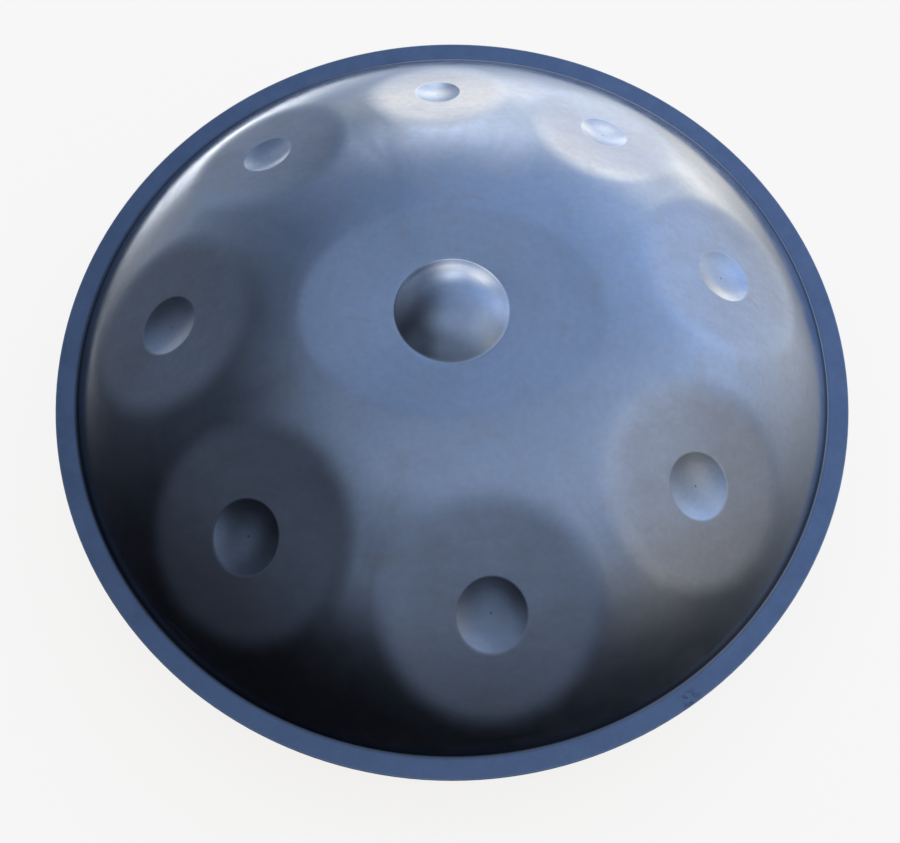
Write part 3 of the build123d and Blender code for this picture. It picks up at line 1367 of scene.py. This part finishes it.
@dataclass
class GuShell:
    """The lower shell: flange, plain bowl, flat foot and the sound port rolled inwards."""

    rim: float
    flange_bottom: float
    sheet: float
    flange_width: float = 14.0 * MM
    flange_fillet: float = 2.5 * MM
    fullness: float = 2.5
    foot_radius: float = 80.0 * MM
    port_radius: float = 50.0 * MM
    port_bend: float = 10.0 * MM
    port_neck: float = 14.0 * MM
    name: str = "gu_shell_steel"

    def _bowl(self, radius: float) -> tuple[float, float]:
        """(radius, height) of the bowl's outside."""
        share = (radius - self.foot_radius) / (self.rim - self.flange_width - self.foot_radius)
        return radius, self.flange_bottom * share**self.fullness

    def profile(self) -> list:
        """Lay out the half section of the outside.

        Returns:
            (radius, height) pairs from the rim down the bowl and up into the port.
        """
        crowding = 0.9
        bowl_radius = self.rim - self.flange_width
        slope = math.atan2(self.flange_bottom * self.fullness, bowl_radius - self.foot_radius)
        turn = self.flange_fillet
        centre = (bowl_radius + turn * (1 - math.cos(slope)) / math.sin(slope),
                  self.flange_bottom - turn)
        fillet = arc_points(centre, turn, 90, 90 + math.degrees(slope), 6)
        steps = 26
        span = fillet[-1][0] - self.foot_radius
        bowl = [self._bowl(self.foot_radius + span * (1 - k / steps) ** crowding)
                for k in range(1, steps)]
        foot = [(share * self.foot_radius, 0) for share in (1, 0.94, 0.84)]
        bend_centre = (self.port_radius + self.port_bend, self.port_bend)
        bend = arc_points(bend_centre, self.port_bend, 270, 180, 8)
        neck = self.port_bend + self.port_neck
        top = [(self.port_radius, neck - below) for below in (9 * MM, 1 * MM, 0)]
        flange = [(self.rim - back, self.flange_bottom)
                  for back in (0, 0.6 * MM, 5 * MM, 9.5 * MM)]
        return flange + fillet + bowl + foot + bend + top

    def build(self) -> bpy.types.Object:
        """Build the shell.

        Returns:
            The finished piece, its modifiers live.
        """
        piece = turned_profile(self.name, self.profile(), closed=False)
        add_screw(piece, TURNED_STEPS)
        add_sheet(piece, self.sheet)
        add_deburr(piece, DEBURR)
        return piece

    def dress(self, piece: bpy.types.Object) -> None:
        """Give the shell its nitrided finish and its place in the frame.

        Args:
            piece: the shell.
        """
        look = SteelFinish(
            name="Nitrided steel, lower shell",
            clear=(0.43, 0.49, 0.58),
            cloud=(0.37, 0.43, 0.52),
            stain=(0.42, 0.42, 0.45),
            field_tint=(0.43, 0.42, 0.45),
            dimple_blue=(0.43, 0.51, 0.64),
            flange_colour=(0.175, 0.23, 0.34),
            flange_start=self.rim - self.flange_width,
            rim=self.rim,
            scuff=(-0.269, 0.02, self.flange_bottom),
            seed=1.9,
            roughness=0.34,
        )
        piece.data.materials.append(nitrided_steel(look))
        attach(piece, BODY)
        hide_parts("gu_shell")


@dataclass
class SeamGlue:
    """The film of adhesive between the flanges, wiped back at the rim and beaded inside."""

    rim: float
    bottom: float
    top: float
    width: float = 12.0 * MM
    wiped_back: float = 0.35 * MM
    name: str = "seam_glue_film"

    def build(self) -> bpy.types.Object:
        """Build the film.

        Returns:
            The finished piece, its modifiers live.
        """
        outer = self.rim - self.wiped_back
        inner = self.rim - self.width + 0.3 * MM
        middle = (self.top + self.bottom) / 2
        bead = (self.top - self.bottom) / 2
        outside = arc_points((outer - bead, middle), bead, 90, -90, 6)
        inside = arc_points((inner + bead, middle), bead, 270, 90, 6)
        piece = turned_profile(self.name, outside + inside, closed=True)
        add_screw(piece, TURNED_STEPS)
        return piece

    def dress(self, piece: bpy.types.Object) -> None:
        """Give the film its adhesive and its place in the frame.

        Args:
            piece: the film.
        """
        piece.data.materials.append(cured_glue())
        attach(piece, BODY)
        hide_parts("seam_glue")


# ---------------------------------------------------------------- studio


class Tint(Enum):
    """The colours of the studio's light."""

    WHITE = (1.0, 1.0, 1.0)
    WARM = (1.0, 0.83, 0.55)
    COOL = (0.7, 0.85, 1.12)
    SKY = (0.46, 0.64, 1.0)


@dataclass(frozen=True)
class Glow:
    """A soft patch of light on the studio's walls.

    Attributes:
        label: what it stands for.
        azimuth: degrees from the back wall, to the right.
        elevation: degrees over the horizon.
        spread: degrees from its middle to where it has faded to 0.6.
        tint: its colour.
        strength: its radiance.
    """

    label: str
    azimuth: float
    elevation: float
    spread: float
    tint: Tint
    strength: float


@dataclass(frozen=True)
class Studio:
    """Pale floor, soft walls of light and the camera.

    Attributes:
        rim_height: height of the flange, which the camera looks at.
        distance: from the rim's middle to the camera.
        elevation: of the camera over the flange, in degrees.
        look_down: how far the camera is tipped, in degrees.
        roll: how far the camera is turned sideways, in degrees.
        lens: focal length in millimetres.
        paper: grey of the backdrop.
        sheen: grey of the floor's own surface.
        shadow_depth: how much of the floor's light comes from the lamp.
        backlight: colour of the light through the floor.
        base: colour of the unlit walls.
        floor_glow: colour that the steel sees below it.
        glows: the patches of light on the walls.
    """

    rim_height: float
    distance: float = 1.001
    elevation: float = 67.41
    look_down: float = 69.15
    roll: float = 0.08
    lens: float = 58.52
    paper: float = 0.93
    sheen: float = 0.13
    shadow_depth: float = 0.05
    backlight: tuple = (0.838, 0.828, 0.815)
    base: tuple = (0.006, 0.005, 0.006)
    floor_glow: tuple = (0.5, 0.52, 0.56)
    glows: tuple = (
        Glow("Sunlit floor behind", -30, -40, 8, Tint.WHITE, 3.4),
        Glow("Floor behind, far left", -65, -40, 8, Tint.WHITE, 0.8),
        Glow("Floor behind, at the right", 30, -40, 8, Tint.WARM, 0.9),
        Glow("Window, top left", 0, 20, 8, Tint.WHITE, 1.2),
        Glow("Window, middle left", 0, -5, 8, Tint.WARM, 1.2),
        Glow("Window, middle right", 25, 10, 8, Tint.WARM, 1.4),
        Glow("Window, lower middle", 10, -15, 8, Tint.WARM, 0.6),
        Glow("Window, lower right", 35, -15, 8, Tint.WARM, 1.4),
        Glow("Window's haze", 10, -15, 20, Tint.COOL, 0.95),
        Glow("Sky through the window", 40, 30, 25, Tint.SKY, 0.9),
        Glow("Wall left of the window", -35, -5, 8, Tint.COOL, 0.25),
        Glow("Bench at the left", -50, -15, 8, Tint.WHITE, 0.3),
        Glow("Left wall", -50, 10, 20, Tint.COOL, 0.24),
        Glow("Left wall, near", -115, 30, 12, Tint.COOL, 0.12),
        Glow("Bench at the right", 60, -15, 8, Tint.WHITE, 0.35),
        Glow("Right wall", 70, -5, 20, Tint.WHITE, 0.5),
        Glow("Right wall, high", 65, 20, 12, Tint.COOL, 0.35),
        Glow("Right wall, near", 115, 20, 12, Tint.WARM, 0.35),
        Glow("Ceiling, back", 0, 55, 12, Tint.SKY, 0.3),
        Glow("Ceiling, back left", -20, 30, 12, Tint.SKY, 0.2),
        Glow("Ceiling, right", 110, 55, 25, Tint.COOL, 0.55),
        Glow("Ceiling lamp", 90, 45, 12, Tint.WARM, 0.2),
        Glow("Ceiling, left", -90, 80, 16, Tint.COOL, 0.4),
        Glow("Ceiling, front left", -160, 45, 12, Tint.COOL, 0.2),
        Glow("Ceiling, front", 170, 30, 12, Tint.COOL, 0.15),
    )

    def camera(self) -> None:
        """Set up the camera, in front of the player's side and well above it."""
        lens = bpy.data.cameras.new("Camera")
        lens.lens = self.lens
        lens.sensor_width = 36
        lens.clip_start = 0.01
        camera = bpy.data.objects.new("Camera", lens)
        lift = math.radians(self.elevation)
        camera.location = (0, -self.distance * math.cos(lift),
                           self.rim_height + self.distance * math.sin(lift))
        camera.rotation_euler = (math.radians(90 - self.look_down), math.radians(self.roll), 0)
        bpy.context.scene.collection.objects.link(camera)
        bpy.context.scene.camera = camera

    def floor(self) -> None:
        """Lay the paper that the instrument stands on; from below it can be seen through."""
        data = bpy.data.meshes.new("studio_floor")
        half = 12.0
        drop = -0.2 * MM
        corners = [(-half, -half, drop), (half, -half, drop),
                   (half, half, drop), (-half, half, drop)]
        data.from_pydata(corners, [], [(0, 1, 2, 3)])
        floor = bpy.data.objects.new("studio_floor", data)
        floor.visible_glossy = False
        floor.data.materials.append(self._paper())
        bpy.context.scene.collection.objects.link(floor)

    def _paper(self) -> bpy.types.Material:
        """Write the floor's paper: lit through from below, so its shadow is faint.

        Returns:
            The material.
        """
        material = bpy.data.materials.new("Studio paper")
        material.use_nodes = True
        nodes = material.node_tree.nodes
        links = material.node_tree.links
        nodes.clear()

        side = nodes.new("ShaderNodeNewGeometry")
        side.label = "Which side is seen"
        side.location = (-700, 300)

        white = nodes.new("ShaderNodeBsdfDiffuse")
        white.label = "Paper"
        white.location = (-700, 50)
        white.inputs["Color"].default_value = (self.sheen, self.sheen, self.sheen, 1)

        backlight = nodes.new("ShaderNodeEmission")
        backlight.label = "Light through the paper"
        backlight.location = (-700, -100)
        backlight.inputs["Color"].default_value = (*self.backlight, 1)

        lit = nodes.new("ShaderNodeAddShader")
        lit.label = "Backlit paper"
        lit.location = (-450, 0)
        links.new(white.outputs["BSDF"], lit.inputs[0])
        links.new(backlight.outputs["Emission"], lit.inputs[1])

        clear = nodes.new("ShaderNodeBsdfTransparent")
        clear.label = "Seen through from below"
        clear.location = (-450, -200)

        choice = nodes.new("ShaderNodeMixShader")
        choice.label = "Above or below"
        choice.location = (-250, 100)
        links.new(side.outputs["Backfacing"], choice.inputs["Fac"])
        links.new(lit.outputs["Shader"], choice.inputs[1])
        links.new(clear.outputs["BSDF"], choice.inputs[2])

        output = nodes.new("ShaderNodeOutputMaterial")
        output.label = "Surface"
        output.location = (0, 100)
        links.new(choice.outputs["Shader"], output.inputs["Surface"])
        return material

    def lamp(self) -> None:
        """Hang the lamp that gives the paper its faint soft shadow; the walls light the steel."""
        lamp = bpy.data.lights.new("Soft overhead", "SUN")
        lamp.energy = math.pi * self.shadow_depth / self.sheen
        lamp.angle = math.radians(70)
        hung = bpy.data.objects.new("Soft overhead", lamp)
        hung.location = (0, 0, 2)
        hung.visible_glossy = False
        bpy.context.scene.collection.objects.link(hung)

    def walls(self) -> None:
        """Write the world: soft glows on dark walls, pale below, and plain paper as backdrop."""
        world = bpy.data.worlds.new("Studio walls")
        world.use_nodes = True
        nodes = world.node_tree.nodes
        links = world.node_tree.links
        nodes.clear()

        direction = nodes.new("ShaderNodeTexCoord")
        direction.label = "Direction"
        direction.location = (-1600, 0)

        height = nodes.new("ShaderNodeSeparateXYZ")
        height.label = "Height of the direction"
        height.location = (-1400, -300)
        links.new(direction.outputs["Generated"], height.inputs["Vector"])

        below = nodes.new("ShaderNodeMapRange")
        below.label = "1 towards the floor"
        below.interpolation_type = "SMOOTHSTEP"
        below.location = (-1200, -300)
        below.inputs["From Min"].default_value = -0.75
        below.inputs["From Max"].default_value = -0.97
        links.new(height.outputs["Z"], below.inputs["Value"])

        total = nodes.new("ShaderNodeMix")
        total.label = "Dark walls to pale floor"
        total.data_type = "RGBA"
        total.location = (-1000, -300)
        total.inputs["A"].default_value = (*self.base, 1)
        total.inputs["B"].default_value = (*self.floor_glow, 1)
        links.new(below.outputs["Result"], total.inputs["Factor"])
        so_far = total.outputs["Result"]

        for k, glow in enumerate(self.glows):
            azimuth = math.radians(glow.azimuth)
            lift = math.radians(glow.elevation)
            frame_of_glow = nodes.new("NodeFrame")
            frame_of_glow.label = glow.label

            facing = nodes.new("ShaderNodeVectorMath")
            facing.label = "Towards this light"
            facing.operation = "DOT_PRODUCT"
            facing.location = (-1400, 300 * k)
            facing.inputs[1].default_value = (math.sin(azimuth) * math.cos(lift),
                                              math.cos(azimuth) * math.cos(lift), math.sin(lift))
            facing.parent = frame_of_glow
            links.new(direction.outputs["Generated"], facing.inputs[0])

            sharpness = 1 / math.radians(glow.spread) ** 2
            away = nodes.new("ShaderNodeMath")
            away.label = "Falls away from its middle"
            away.operation = "MULTIPLY_ADD"
            away.location = (-1200, 300 * k)
            away.inputs[1].default_value = sharpness
            away.inputs[2].default_value = -sharpness
            away.parent = frame_of_glow
            links.new(facing.outputs["Value"], away.inputs[0])

            fade = nodes.new("ShaderNodeMath")
            fade.label = "Soft edge"
            fade.operation = "EXPONENT"
            fade.location = (-1000, 300 * k)
            fade.parent = frame_of_glow
            links.new(away.outputs["Value"], fade.inputs[0])

            tinted = nodes.new("ShaderNodeVectorMath")
            tinted.label = "Its colour"
            tinted.operation = "SCALE"
            tinted.location = (-800, 300 * k)
            tinted.inputs[0].default_value = [glow.strength * part for part in glow.tint.value]
            tinted.parent = frame_of_glow
            links.new(fade.outputs["Value"], tinted.inputs["Scale"])

            added = nodes.new("ShaderNodeVectorMath")
            added.label = "Added to the rest"
            added.operation = "ADD"
            added.location = (-600, 300 * k)
            added.parent = frame_of_glow
            links.new(so_far, added.inputs[0])
            links.new(tinted.outputs["Vector"], added.inputs[1])
            so_far = added.outputs["Vector"]

        lit = nodes.new("ShaderNodeBackground")
        lit.label = "What the steel sees"
        lit.location = (-300, 200)
        links.new(so_far, lit.inputs["Color"])

        backdrop = nodes.new("ShaderNodeBackground")
        backdrop.label = "Plain paper backdrop"
        backdrop.location = (-300, -100)
        backdrop.inputs["Color"].default_value = (self.paper, self.paper, self.paper, 1)

        ray = nodes.new("ShaderNodeLightPath")
        ray.label = "Seen directly or not"
        ray.location = (-300, 600)

        choice = nodes.new("ShaderNodeMixShader")
        choice.label = "Backdrop or walls"
        choice.location = (-50, 100)
        links.new(ray.outputs["Is Camera Ray"], choice.inputs["Fac"])
        links.new(lit.outputs["Background"], choice.inputs[1])
        links.new(backdrop.outputs["Background"], choice.inputs[2])

        output = nodes.new("ShaderNodeOutputWorld")
        output.label = "World"
        output.location = (200, 100)
        links.new(choice.outputs["Shader"], output.inputs["Surface"])
        bpy.context.scene.world = world

    def build(self) -> None:
        """Set up the whole studio."""
        self.camera()
        self.floor()
        self.lamp()
        self.walls()
        bpy.context.scene.view_settings.view_transform = "Standard"


def main() -> None:
    logging.basicConfig(level=logging.INFO, format="%(name)s: %(message)s")
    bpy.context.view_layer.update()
    upper_low, upper_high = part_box("ding_shell")
    _, lower_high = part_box("gu_shell")
    glue_low, glue_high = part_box("seam_glue")
    rim = upper_high.x
    sheet = 1.1 * MM
    parts = (
        DingShell(rim, upper_low.z + sheet, sheet),
        GuShell(rim, lower_high.z - sheet, sheet),
        SeamGlue(glue_high.x, glue_low.z, glue_high.z),
    )
    for part in parts:
        piece = part.build()
        part.dress(piece)
        log.info("%s: %d cage faces", piece.name, len(piece.data.polygons))
    Studio(upper_low.z + sheet).build()


if __name__ == "__main__":
    main()
